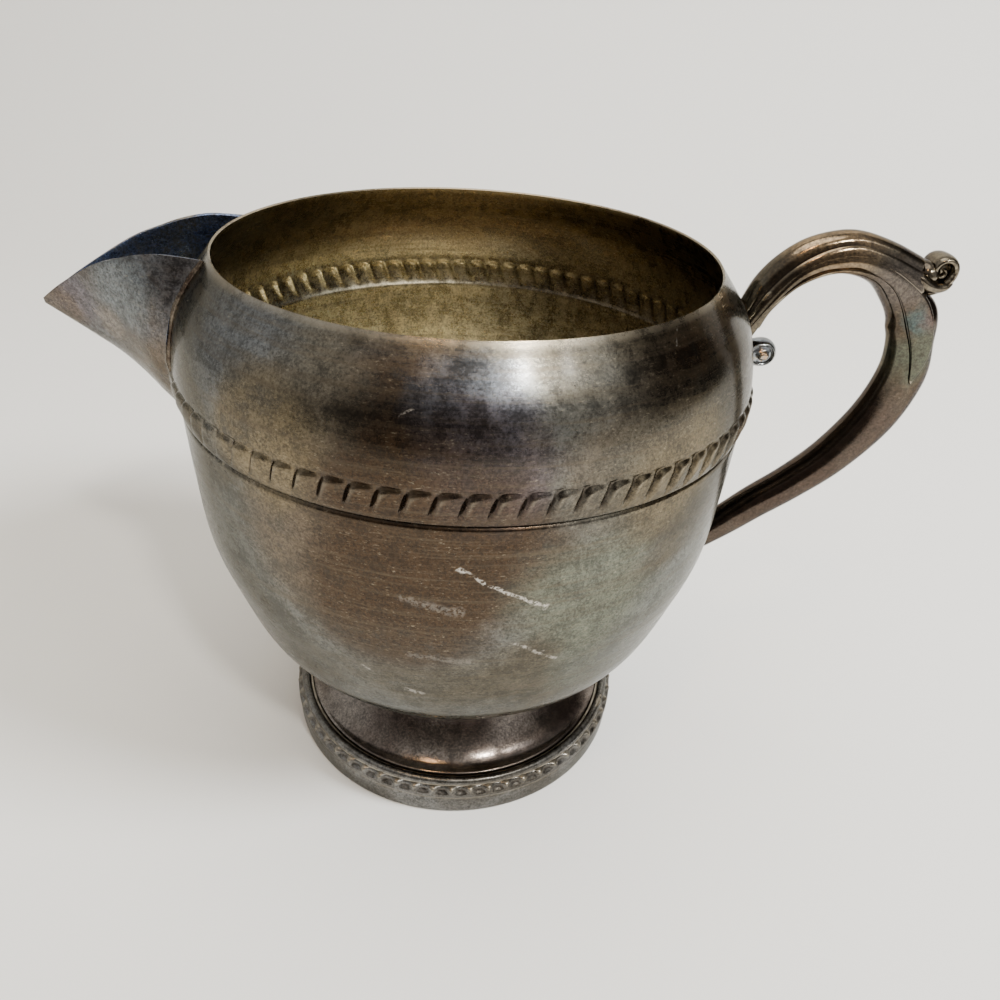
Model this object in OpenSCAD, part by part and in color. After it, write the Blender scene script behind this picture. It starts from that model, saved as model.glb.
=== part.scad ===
// Silver-plated cream jug: a raised body with a gadrooned band, an applied open spout,
// a moulded scroll handle and a spun foot with a fluted border.
// The origin is the centre of the standing face, +Z up, handle toward +X, spout toward -X.

/* [Body] */
// Diameter of the mouth at the rim
rim_d = 80; // [78:0.5:82]
// Height of the rim above the table
rim_z = 99.3; // [97:0.1:101]
// Largest diameter of the plain wall
belly_d = 95.5; // [94:0.5:97]
// Thickness of the sheet
wall = 0.7; // [0.6:0.1:0.9]
// Height of the middle of the gadrooned band
band_z = 80.3; // [79.5:0.1:81]
// How far the band stands proud of the wall
band_proud = 0.45; // [0.3:0.05:0.6]

/* [Pour holes] */
// Diameter of each pour hole behind the spout
hole_d = 3; // [2.4:0.1:3.4]
// Distance between holes in a row
hole_pitch = 4.8; // [4.4:0.1:5.2]

/* [Spout] */
// Reach of the spout tip from the axis
spout_reach = 69.3; // [67:0.1:71]
// Half of the angle that the spout covers on the body
spout_angle = 17.7; // [16:0.1:19]
// Height at which the keel meets the body
keel_z = 66.5; // [65:0.5:68]

/* [Foot] */
// Diameter of the plain base ring
base_d = 69; // [68:0.5:70]
// Height of the plain base ring
base_h = 4.4; // [4:0.1:4.8]
// Height of the fluted border
border_h = 2.7; // [2.4:0.1:3]
// Number of flutes round the border
flute_n = 60; // [48:2:72]
// Diameter of the neck of the foot
neck_d = 46; // [44:0.5:47]

/* [Handle] */
// Width of the handle across its flat faces
handle_w = 7.4; // [6.8:0.1:8]
// Radius of the thumb scroll
thumb_r = 2.65; // [2.5:0.05:2.8]
// Radius of the small scroll under the upper joint
curl_r = 2.5; // [2.3:0.1:2.7]

/* [Hidden] */
$fn = 96;

rim_r = rim_d / 2;
belly_r = belly_d / 2;
base_r = base_d / 2;
neck_r = neck_d / 2;
silver = [0.56, 0.54, 0.52];
dark_silver = [0.36, 0.31, 0.29];
bronze_silver = [0.46, 0.36, 0.26];
solder_grey = [0.44, 0.43, 0.4];

// ---- curves ----

// One point of a smooth curve that runs from b to c, with neighbours a and d
function blend(a, b, c, d, t) =
    0.5 * (2 * b + (c - a) * t + (2 * a - 5 * b + 4 * c - d) * t * t + (3 * b - a - 3 * c + d) * t * t * t);

// A smooth curve through every point of a list, with some steps in each stretch
function smooth(p, steps) = concat(
    [for (i = [0 : len(p) - 2]) for (k = [0 : steps - 1])
        blend(p[max(i - 1, 0)], p[i], p[i + 1], p[min(i + 2, len(p) - 1)], k / steps)],
    [p[len(p) - 1]]);

// A point at share u of a smooth curve through a list of points
function along(p, u) = let(
    s = min(u * (len(p) - 1), len(p) - 1.0001),
    i = floor(s))
    blend(p[max(i - 1, 0)], p[i], p[i + 1], p[min(i + 2, len(p) - 1)], s - i);

function unit(v) = v / norm(v);

// An outline moved sideways, to the left of its direction of travel
function shifted(p, gap) = [for (i = [0 : len(p) - 1]) let(
    run = unit(p[min(i + 1, len(p) - 1)] - p[max(i - 1, 0)]))
    p[i] + gap * [-run[1], run[0]]];

function turned_back(p) = [for (i = [len(p) - 1 : -1 : 0]) p[i]];

// ---- body ----

// Wall of the body from the rim down to the middle of the floor, as radius and height
body_shape = [
    [rim_r, rim_z],
    [belly_r - 2.9, rim_z - 6.3],
    [belly_r - 1, rim_z - 11.3],
    [belly_r - 0.15, band_z + 3.2],
    [belly_r + band_proud * 0.6, band_z + 2.2],
    [belly_r + band_proud, band_z],
    [belly_r + band_proud * 0.5, band_z - 2.3],
    [belly_r - 0.6, band_z - 3.3],
    [belly_r - 0.45, band_z - 4.3],
    [belly_r - 0.75, 65],
    [belly_r - 1.45, 54],
    [belly_r - 4.05, 44],
    [belly_r - 6.65, 36],
    [belly_r - 9.35, 31.3],
    [belly_r - 13.3, 27.2],
    [belly_r - 18.8, 23.4],
    [belly_r - 25.8, 20.4],
    [belly_r - 35.8, 18.5],
    [0, 18]];
body_out = smooth(body_shape, 4);
wall_in = shifted(body_out, -wall);
body_in = [for (i = [0 : len(wall_in) - 1]) [i == len(wall_in) - 1 ? 0 : max(wall_in[i][0], 0), wall_in[i][1]]];

// Radius of the outside of the body at a height, and height of its underside at a radius
radius_table = [for (p = turned_back(body_out)) [p[1], p[0]]];
under_table = [for (p = turned_back(body_out)) if (p[1] < 60) [p[0], p[1]]];
function body_radius(z) = lookup(z, radius_table);
function underside(r) = lookup(r, under_table);

// Solid that fills the body, grown a little, used to trim what is fitted to it
module filled_body(grow) {
    grown = shifted(body_out, grow);
    rotate_extrude()
        polygon(concat([[0, rim_z + grow]], [for (p = grown) [max(p[0], 0), p[1]]], [[0, 18 - grow]]));
}

hole_rows = [[rim_z - 7, 3], [rim_z - 11, 4], [rim_z - 15, 3]];

module body() {
    color(silver)
    difference() {
        rotate_extrude()
            polygon(concat(body_out, turned_back(body_in)));
        for (row = hole_rows)
            for (i = [0 : row[1] - 1])
                translate([-belly_r - 5, (i - (row[1] - 1) / 2) * hole_pitch, row[0]])
                    rotate([0, 90, 0])
                        cylinder(d = hole_d, h = 20);
    }
}

// ---- spout ----

spout_seam_top = rim_z - 0.9;
seam_gap = 0.02;
spout_steps = 14;
spout_sides = 9;
tip_z = rim_z - 12.6;

// Keel of the spout from the body to the tip
keel_line = [
    [-body_radius(keel_z), keel_z],
    [-spout_reach + 17.9, 71],
    [-spout_reach + 14.6, 74.8],
    [-spout_reach + 11.1, 78.4],
    [-spout_reach + 6.6, 81.9],
    [-spout_reach, tip_z]];

// Upper edge of the spout from the body to the tip: reach, half width and height
lip_line = [
    [-rim_r * cos(spout_angle) - 0.6, rim_r * sin(spout_angle) + 0.2, spout_seam_top],
    [-spout_reach + 25, 11.6, rim_z - 0.6],
    [-spout_reach + 20.6, 10.3, rim_z - 1.2],
    [-spout_reach + 17.1, 9, rim_z - 2.2],
    [-spout_reach + 13.3, 7.4, rim_z - 3.5],
    [-spout_reach + 8.7, 4.8, rim_z - 6],
    [-spout_reach + 4.2, 2.6, rim_z - 8.8],
    [-spout_reach + 0.2, 0.7, tip_z + 0.9]];

// How a cross-section rises and widens from the keel, side 0, to the lip, side 1
function rise(side) = 0.6 * (1 - cos(90 * side)) + 0.4 * side;
function widen(side) = 0.55 * sin(90 * side) + 0.45 * side;

// A point of the seam on the body, with an allowance outward along the wall
function seam_point(side, out, lift) = let(
    s = abs(side),
    z = keel_z + (spout_seam_top - keel_z) * rise(s),
    share = min(1, (z - keel_z) / (rim_z - 11.3 - keel_z)),
    turn = spout_angle * sin(90 * pow(share, 0.75)),
    low = z - out * (1 - rise(s)),
    r = body_radius(low) + lift,
    a = turn + out / belly_r * 180 / PI * widen(s))
    [-r * cos(a), sign(side) * r * sin(a), low];

// A point of a straight-sided section between the keel and the lip
function section_point(u, side) = let(
    k = along(keel_line, u),
    l = along(lip_line, u),
    s = abs(side))
    [k[0] + (l[0] - k[0]) * rise(s), sign(side) * l[1] * widen(s), k[1] + (l[2] - k[1]) * rise(s)];

function spout_point(u, side) =
    section_point(u, side) + pow(1 - u, 3) * (seam_point(side, 0, seam_gap) - section_point(0, side));

// Direction into the channel at a point of the spout
function spout_inward(u, side) = let(
    e = 0.01,
    du = spout_point(min(u + e, 1), side) - spout_point(max(u - e, 0), side),
    ds = spout_point(u, min(side + e, 1)) - spout_point(u, max(side - e, -1)))
    unit(cross(du, ds));

// The inner face starts on the body too
function spout_inside(u, side) = let(
    p = spout_point(u, side) + wall * spout_inward(u, side))
    u > 0 ? p : let(
        r = body_radius(p[2]) + seam_gap,
        a = atan2(p[1], -p[0]))
        [-r * cos(a), r * sin(a), p[2]];

// Closed skin of faces for rings of points that are stacked one after another
function skin_faces(rings, count) = concat(
    [for (i = [0 : rings - 2]) for (j = [0 : count - 1]) let(k = (j + 1) % count)
        [i * count + j, i * count + k, (i + 1) * count + k]],
    [for (i = [0 : rings - 2]) for (j = [0 : count - 1]) let(k = (j + 1) % count)
        [i * count + j, (i + 1) * count + k, (i + 1) * count + j]],
    [for (j = [1 : count - 2]) [0, j + 1, j]],
    [for (j = [1 : count - 2]) let(b = (rings - 1) * count) [b, b + j, b + j + 1]]);

// End caps of a ring that is a folded sheet, as a strip from its outer to its inner row
function sheet_caps(rings, half) = let(count = 2 * half, b = (rings - 1) * count) concat(
    [for (j = [0 : half - 2]) [j, count - 1 - j, j + 1]],
    [for (j = [0 : half - 2]) [j + 1, count - 1 - j, count - 2 - j]],
    [for (j = [0 : half - 2]) [b + j, b + j + 1, b + count - 1 - j]],
    [for (j = [0 : half - 2]) [b + j + 1, b + count - 2 - j, b + count - 1 - j]]);

function side_faces(rings, count) = concat(
    [for (i = [0 : rings - 2]) for (j = [0 : count - 1]) let(k = (j + 1) % count)
        [i * count + j, i * count + k, (i + 1) * count + k]],
    [for (i = [0 : rings - 2]) for (j = [0 : count - 1]) let(k = (j + 1) % count)
        [i * count + j, (i + 1) * count + k, (i + 1) * count + j]]);

module spout() {
    sides = [for (j = [-spout_sides : spout_sides]) j / spout_sides];
    half = len(sides);
    points = [for (i = [0 : spout_steps]) let(u = i / spout_steps) each concat(
        [for (s = sides) spout_point(u, s)],
        [for (s = turned_back(sides)) spout_inside(u, s)])];
    color(silver)
        polyhedron(points, concat(
            side_faces(spout_steps + 1, 2 * half),
            sheet_caps(spout_steps + 1, half)), convexity = 6);
}

solder_leg = 0.9;

module spout_solder() {
    steps = 24;
    points = [for (j = [-steps : steps]) let(s = j / steps) each [
        seam_point(s, 0.02, 0.06),
        seam_point(s, solder_leg, seam_gap),
        spout_point(0.03, s) - 0.05 * spout_inward(0.03, s)]];
    color(solder_grey)
        polyhedron(points, skin_faces(2 * steps + 1, 3), convexity = 4);
}

// ---- foot ----

collar_r = base_r - 2.9;
border_z = base_h;
bead_z = border_z + border_h;
scoop_z = bead_z + 0.8;
neck_top = 18.5;

// Hollow curve from the collar up to the neck
scoop = [for (a = [0 : 10 : 90]) [
    collar_r - 0.6 - (collar_r - 0.6 - neck_r) * pow(sin(a), 4 / 3),
    neck_top - (neck_top - scoop_z) * pow(cos(a), 4 / 3)]];

module foot() {
    out = concat(
        [[collar_r, 0.4], [collar_r, scoop_z - 0.5], [collar_r - 0.2, scoop_z - 0.1]],
        scoop);
    inside = shifted(out, wall);
    top_out = [[neck_r, underside(neck_r) - seam_gap]];
    top_in = [[neck_r - wall, underside(neck_r - wall) - seam_gap]];
    color(dark_silver)
        rotate_extrude()
            polygon(concat(out, top_out, top_in, turned_back(inside)));
}

module foot_base_ring() {
    soft = 0.5;
    color(silver)
        rotate_extrude()
            polygon([
                [collar_r, 0.3], [collar_r + 0.3, 0],
                [base_r - soft, 0], [base_r - 0.15, 0.15], [base_r, soft],
                [base_r, base_h - 0.3], [base_r - 0.3, base_h], [collar_r, base_h]]);
}

module foot_border() {
    flute_deep = 0.6;
    points_each = 4;
    count = flute_n * points_each;
    color(dark_silver)
        translate([0, 0, border_z])
            linear_extrude(border_h)
                difference() {
                    polygon([for (i = [0 : count - 1]) let(
                        a = i * 360 / count,
                        r = base_r + 0.3 - flute_deep * pow(abs(cos(a * flute_n / 2)), 3))
                        [r * cos(a), r * sin(a)]]);
                    circle(r = collar_r);
                }
}

module foot_bead() {
    bead_w = 1.5;
    bead_h = 1.2;
    color(silver)
        translate([0, 0, bead_z])
            rotate_extrude()
                polygon([for (a = [0 : 20 : 180])
                    [collar_r + 1.3 + bead_w / 2 * cos(a), bead_h * sin(a)]]);
}

module foot_solder() {
    leg = 1.3;
    low = underside(neck_r) - 1.5;
    color(solder_grey)
        rotate_extrude()
            polygon([
                [neck_r + seam_gap, low],
                [neck_r + leg, underside(neck_r + leg) - seam_gap],
                [neck_r + leg / 2, underside(neck_r + leg / 2) - seam_gap],
                [neck_r + seam_gap, underside(neck_r) - seam_gap]]);
}

// ---- handle ----

handle_half = handle_w / 2;
thumb_at = [77.5, rim_z + 0.4];
curl_at = [51.2, rim_z - 15.9];

// Upper silhouette of the arm, from inside the body to the thumb scroll
arm_top = [for (p = [[43, -13], [45.4, -8.2], [47.2, -3.2], [50, 0.6], [54, 3.6], [59, 5.2], [63.2, 5.3],
    [68.6, 3.9], [73.6, 1.9]]) [p[0], rim_z + p[1]]];
// Groove between the two rounded mouldings
arm_groove = [for (p = [[44, -13.2], [46.2, -9], [48.6, -4.4], [51.6, -0.6], [55.5, 2.2], [59, 3.5], [62.6, 3.7],
    [68.1, 2.2], [73, 0.2]]) [p[0], rim_z + p[1]]];
// Edge where the mouldings meet the flat face
arm_edge = [for (p = [[45, -13.4], [47.4, -9], [50.3, -4.6], [53, -1.2], [56, 0.7], [59.2, 1.6], [62.7, 1.8],
    [68.2, 0.4], [73.9, -2.8], [77.2, -6.5], [79, -11.4], [79, -15.6], [77.6, -19.4]]) [p[0], rim_z + p[1]]];
// Inner edge of the flat face
arm_inner = [for (p = [[46.8, -14], [48.2, -10.8], [50.4, -5.8], [53.3, -2.3], [56.4, -0.5], [59.8, 0.2], [63.2, 0.1],
    [68.4, -2.4], [71.4, -5.7], [73.8, -9.8], [75.6, -13.6], [77, -18.2]]) [p[0], rim_z + p[1]]];

module upright(width) {
    rotate([90, 0, 0])
        translate([0, 0, -width / 2])
            linear_extrude(width)
                children();
}

module arm_solid() {
    upright(handle_w)
        polygon(concat(smooth(arm_edge, 3), turned_back(smooth(arm_inner, 3))));
    upright(handle_w - 0.8)
        polygon(concat(smooth(arm_groove, 3), [thumb_at - [4.5, 4]], turned_back(smooth(
            [for (i = [0 : 7]) arm_inner[i]], 3))));
    upright(handle_w - 2.4)
        polygon(concat(smooth(arm_top, 3), [thumb_at - [4.1, 1.9]], turned_back(smooth(
            [for (i = [0 : 7]) arm_groove[i] - [0, 0.6]], 3))));
}

module handle_arm() {
    color(bronze_silver)
    difference() {
        arm_solid();
        filled_body(seam_gap);
    }
}

// Middle line of the leg with its half thickness in the handle's plane and across it.
// It starts as a thin strip under the arm, from the upper joint.
leg_line = [
    [48.7, 88.6, 0.7, 2.6],
    [50.2, 92.2, 0.9, 2.6],
    [54.1, 96.5, 0.9, 2.7],
    [60, 98.9, 1, 2.8],
    [66.4, 98, 1.5, 3],
    [71.2, 94.9, 2.3, 3.2],
    [75.5, 91.5, 4, 3.4],
    [76.8, 86.2, 4, 3.6],
    [77.3, 80, 4.3, 3.6],
    [74.9, 71.8, 4.2, 3.6],
    [69.5, 63.4, 3.7, 3.6],
    [63.6, 57.3, 3.4, 3.4],
    [57.4, 52.1, 3.3, 3.2],
    [52.3, 47.5, 3.1, 3],
    [47.6, 43.6, 2.8, 2.9],
    [41.3, 38.8, 2.7, 2.8]];

module leg_solid() {
    rings = 45;
    count = 20;
    points = [for (i = [0 : rings]) let(
        u = i / rings,
        c = along(leg_line, u),
        run = unit(along(leg_line, min(u + 0.01, 1)) - along(leg_line, max(u - 0.01, 0))),
        side = unit([run[1], -run[0]]))
        for (j = [0 : count - 1]) let(a = j * 360 / count, out = c[2] * cos(a)) [
            c[0] + side[0] * out,
            c[3] * sin(a),
            c[1] + side[1] * out]];
    polyhedron(points, skin_faces(rings + 1, count), convexity = 4);
}

module handle_leg() {
    color(dark_silver)
    difference() {
        leg_solid();
        arm_solid();
        filled_body(seam_gap);
    }
}

// A rounded roll that the mouldings of the arm sweep under
module thumb_scroll() {
    color(silver)
    difference() {
        for (p = [[0, 0], [-0.2, -1.6], [-2.1, -1.3]])
            translate([thumb_at[0] + p[0], 0, thumb_at[1] + p[1]])
                sphere(r = thumb_r);
        arm_solid();
    }
}

module curl_solid() {
    neck = 6;
    translate([curl_at[0], 0, curl_at[1]]) {
        sphere(r = curl_r);
        rotate([0, -90, 0])
            cylinder(r = curl_r, h = neck);
    }
}

module inner_scroll() {
    color(silver)
    difference() {
        curl_solid();
        arm_solid();
        leg_solid();
        filled_body(seam_gap);
    }
}

solder_deep = 0.8;

module handle_upper_solder() {
    pad_w = handle_w + 1.4;
    pad_h = 9.2;
    color(solder_grey)
    difference() {
        intersection() {
            translate([rim_r, -pad_w / 2, rim_z - 14])
                cube([10, pad_w, pad_h]);
            filled_body(solder_deep);
        }
        filled_body(seam_gap);
        arm_solid();
        curl_solid();
    }
}

// Straight oval bar along the last stretch of the leg
module leg_stub(grow) {
    root = leg_line[len(leg_line) - 1];
    before = leg_line[len(leg_line) - 2];
    reach = 12;
    translate([root[0], 0, root[1]])
        rotate([0, atan2(before[0] - root[0], before[1] - root[1]), 0])
            linear_extrude(reach)
                polygon([for (a = [0 : 15 : 345]) [
                    (before[2] + grow) * cos(a),
                    (before[3] + grow) * sin(a)]]);
}

module handle_lower_solder() {
    clearance = 0.12;
    color(solder_grey)
    difference() {
        intersection() {
            leg_stub(solder_deep);
            filled_body(solder_deep);
        }
        filled_body(seam_gap);
        leg_stub(clearance);
    }
}

body();
spout();
spout_solder();
foot();
foot_base_ring();
foot_border();
foot_bead();
foot_solder();
handle_arm();
handle_leg();
thumb_scroll();
inner_scroll();
handle_upper_solder();
handle_lower_solder();
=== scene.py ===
import math

import bpy
from mathutils import Matrix, Vector


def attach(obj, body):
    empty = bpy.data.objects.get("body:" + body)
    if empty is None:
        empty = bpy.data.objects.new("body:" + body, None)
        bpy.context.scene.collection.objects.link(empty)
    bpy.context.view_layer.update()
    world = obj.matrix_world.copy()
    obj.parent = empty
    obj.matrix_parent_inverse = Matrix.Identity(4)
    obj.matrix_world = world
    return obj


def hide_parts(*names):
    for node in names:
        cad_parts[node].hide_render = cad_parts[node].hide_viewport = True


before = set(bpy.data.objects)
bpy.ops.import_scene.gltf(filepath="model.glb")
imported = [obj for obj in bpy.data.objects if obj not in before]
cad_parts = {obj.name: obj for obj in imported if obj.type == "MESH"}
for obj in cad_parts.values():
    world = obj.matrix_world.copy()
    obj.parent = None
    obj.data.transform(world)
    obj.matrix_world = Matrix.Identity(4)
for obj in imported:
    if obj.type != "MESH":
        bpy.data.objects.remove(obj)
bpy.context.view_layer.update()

mm = 0.001
fullTurn = math.tau
print("frame loaded")


# Helpers for modelling

def deselectAll():
    if bpy.context.object and bpy.context.object.mode != "OBJECT":
        bpy.ops.object.mode_set(mode="OBJECT")
    bpy.ops.object.select_all(action="DESELECT")


def makeActive(piece):
    deselectAll()
    piece.select_set(True)
    bpy.context.view_layer.objects.active = piece


def startEditing(piece, selected="DESELECT"):
    makeActive(piece)
    bpy.ops.object.mode_set(mode="EDIT")
    bpy.ops.mesh.select_mode(type="VERT")
    bpy.ops.mesh.select_all(action=selected)


def stopEditing():
    bpy.ops.object.mode_set(mode="OBJECT")


def named(piece, name):
    piece.name = name
    piece.data.name = name
    return piece


def cleanMesh(piece, merge=0.00002):
    startEditing(piece, "SELECT")
    bpy.ops.mesh.remove_doubles(threshold=merge)
    bpy.ops.mesh.normals_make_consistent(inside=False)
    stopEditing()


def applyModifier(piece, kind, **settings):
    makeActive(piece)
    modifier = piece.modifiers.new(kind.title(), kind)
    for key, value in settings.items():
        setattr(modifier, key, value)
    bpy.ops.object.modifier_apply(modifier=modifier.name)


def smoothShade(piece, degrees=40):
    makeActive(piece)
    bpy.ops.object.shade_smooth_by_angle(angle=math.radians(degrees))


def joinPieces(pieces, name):
    makeActive(pieces[0])
    for other in pieces[1:]:
        other.select_set(True)
    if len(pieces) > 1:
        bpy.ops.object.join()
    return named(bpy.context.object, name)


def blendPoints(a, b, c, d, t):  # one point of a smooth curve from b to c
    return 0.5 * (2 * b + (c - a) * t + (2 * a - 5 * b + 4 * c - d) * t ** 2
                  + (3 * b - a - 3 * c + d) * t ** 3)


def along(points, share):  # a point at a share of the way along a smooth curve through points
    last = len(points) - 1
    place = min(max(share, 0.0), 1.0) * last
    i = min(int(place), last - 1)
    return blendPoints(points[max(i - 1, 0)], points[i], points[i + 1], points[min(i + 2, last)], place - i)


def smoothCurve(points, steps):
    vectors = [Vector(p) for p in points]
    count = (len(vectors) - 1) * steps
    return [along(vectors, i / count) for i in range(count + 1)]


def ease(x):
    x = min(max(x, 0.0), 1.0)
    return x * x * (3 - 2 * x)


def drawOutline(name, outline):  # a string of edges in the XZ plane, drawn by extruding one vertex
    bpy.ops.mesh.primitive_plane_add(size=mm, location=(0, 0, 0))
    piece = named(bpy.context.object, name)
    startEditing(piece, "SELECT")
    bpy.ops.mesh.merge(type="CENTER")
    bpy.ops.transform.translate(value=(outline[0][0], 0, outline[0][1]))
    for here, there in zip(outline, outline[1:]):
        bpy.ops.mesh.extrude_region_move(
            TRANSFORM_OT_translate={"value": (there[0] - here[0], 0, there[1] - here[1])})
    stopEditing()
    return piece


def spinOutline(piece, steps):
    startEditing(piece, "SELECT")
    bpy.ops.mesh.spin(steps=steps, angle=fullTurn, center=(0, 0, 0), axis=(0, 0, 1))
    stopEditing()
    cleanMesh(piece)


def layGrid(name, across, down, place):  # a grid whose points are laid where place(u, v) says
    bpy.ops.mesh.primitive_grid_add(x_subdivisions=across, y_subdivisions=down, size=1, location=(0, 0, 0))
    piece = named(bpy.context.object, name)
    for vertex in piece.data.vertices:
        vertex.co = place(vertex.co.x + 0.5, vertex.co.y + 0.5)
    return piece


def fillOpenRings(piece):  # closes every open ring of edges
    startEditing(piece, "SELECT")
    bpy.ops.mesh.fill_holes(sides=0)
    bpy.ops.mesh.normals_make_consistent(inside=False)
    stopEditing()


def finishPiece(piece, material, slot, *nodes):
    piece.data.materials.clear()
    piece.data.materials.append(material)
    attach(piece, "root")
    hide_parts(*nodes)
    print("made", piece.name, len(piece.data.polygons), "faces")


# Finishes

def addNode(tree, kind, **values):  # a new node with its sockets or settings filled in by name
    node = tree.nodes.new(kind)
    for key, value in values.items():
        if key in node.inputs:
            node.inputs[key].default_value = value
        else:
            setattr(node, key, value)
    return node


def math2(tree, operation, first, second, clamp=False):  # one sum on two sockets or numbers
    node = addNode(tree, "ShaderNodeMath", operation=operation, use_clamp=clamp)
    for socket, value in zip(node.inputs, (first, second)):
        if hasattr(value, "links"):
            tree.links.new(value, socket)
        else:
            socket.default_value = value
    return node.outputs[0]


def spread(tree, value, low, high, toLow=0.0, toHigh=1.0):  # a soft step from low to high
    node = addNode(tree, "ShaderNodeMapRange", interpolation_type="SMOOTHSTEP")
    tree.links.new(value, node.inputs["Value"])
    node.inputs["From Min"].default_value = low
    node.inputs["From Max"].default_value = high
    node.inputs["To Min"].default_value = toLow
    node.inputs["To Max"].default_value = toHigh
    return node.outputs["Result"]


def mixColour(tree, share, under, over):
    node = addNode(tree, "ShaderNodeMix", data_type="RGBA")
    for socket, value in ((node.inputs[0], share), (node.inputs[6], under), (node.inputs[7], over)):
        if hasattr(value, "links"):
            tree.links.new(value, socket)
        elif isinstance(value, (int, float)):
            socket.default_value = value
        else:
            socket.default_value = (*value, 1)
    return node.outputs[2]


def clouds(tree, where, scale, detail=4.0, rough=0.55, twist=0.0):
    node = addNode(tree, "ShaderNodeTexNoise",
                   Scale=scale, Detail=detail, Roughness=rough, Distortion=twist)
    tree.links.new(where, node.inputs["Vector"])
    return node.outputs["Fac"]


def stretched(tree, where, scale):
    node = addNode(tree, "ShaderNodeMapping", Scale=scale)
    tree.links.new(where, node.inputs["Vector"])
    return node.outputs["Vector"]


def offCentre(tree, where, centre):
    far = addNode(tree, "ShaderNodeVectorMath", operation="DISTANCE")
    tree.links.new(where, far.inputs[0])
    far.inputs[1].default_value = centre
    return far.outputs["Value"]


def scratchMark(tree, where, start, end, width):  # how strongly a point lies on a scratch from start to end
    start, end = Vector(start) * mm, Vector(end) * mm
    run = end - start
    middle = addNode(tree, "ShaderNodeVectorMath", operation="SUBTRACT")
    tree.links.new(where, middle.inputs[0])
    middle.inputs[1].default_value = start
    onto = addNode(tree, "ShaderNodeVectorMath", operation="DOT_PRODUCT")
    tree.links.new(middle.outputs["Vector"], onto.inputs[0])
    onto.inputs[1].default_value = run / run.length_squared
    share = math2(tree, "MULTIPLY", onto.outputs["Value"], 1.0, True)
    foot = addNode(tree, "ShaderNodeVectorMath", operation="SCALE")
    foot.inputs[0].default_value = run
    tree.links.new(share, foot.inputs["Scale"])
    gap = addNode(tree, "ShaderNodeVectorMath", operation="DISTANCE")
    tree.links.new(middle.outputs["Vector"], gap.inputs[0])
    tree.links.new(foot.outputs["Vector"], gap.inputs[1])
    return spread(tree, gap.outputs["Value"], width * 0.25 * mm, width * mm, 1.0, 0.0)


def scratches(tree, where, marks, waver=0.0018):  # all the scratches together, crumbled and a little wavy
    crumble = spread(tree, clouds(tree, where, 1900, 3.0, 0.65), 0.4, 0.56)
    ripple = addNode(tree, "ShaderNodeTexNoise", Scale=420, Detail=3.0)
    tree.links.new(where, ripple.inputs["Vector"])
    shift = addNode(tree, "ShaderNodeVectorMath", operation="SUBTRACT")
    tree.links.new(where, shift.inputs[0])
    shift.inputs[1].default_value = (waver / 2, waver / 2, waver / 2)
    bent = addNode(tree, "ShaderNodeVectorMath", operation="MULTIPLY_ADD")
    tree.links.new(ripple.outputs["Color"], bent.inputs[0])
    bent.inputs[1].default_value = (waver, waver, waver)
    tree.links.new(shift.outputs["Vector"], bent.inputs[2])
    strongest = 0.0
    for start, end, width, strength in marks:
        mark = scratchMark(tree, bent.outputs["Vector"], start, end, width)
        mark = math2(tree, "MULTIPLY", math2(tree, "MULTIPLY", mark, strength), crumble)
        strongest = math2(tree, "MAXIMUM", strongest, mark)
    return strongest


def heightAbove(tree, where):
    parts = addNode(tree, "ShaderNodeSeparateXYZ")
    tree.links.new(where, parts.inputs[0])
    return parts.outputs["Z"]


def insideMask(tree, where):  # 1 where the surface faces the axis of the jug
    flat = addNode(tree, "ShaderNodeVectorMath", operation="MULTIPLY")
    tree.links.new(where, flat.inputs[0])
    flat.inputs[1].default_value = (1, 1, 0)
    facing = addNode(tree, "ShaderNodeVectorMath", operation="DOT_PRODUCT")
    tree.links.new(flat.outputs["Vector"], facing.inputs[0])
    tree.links.new(addNode(tree, "ShaderNodeNewGeometry").outputs["True Normal"], facing.inputs[1])
    return spread(tree, facing.outputs["Value"], 0.002, -0.002)


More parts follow.
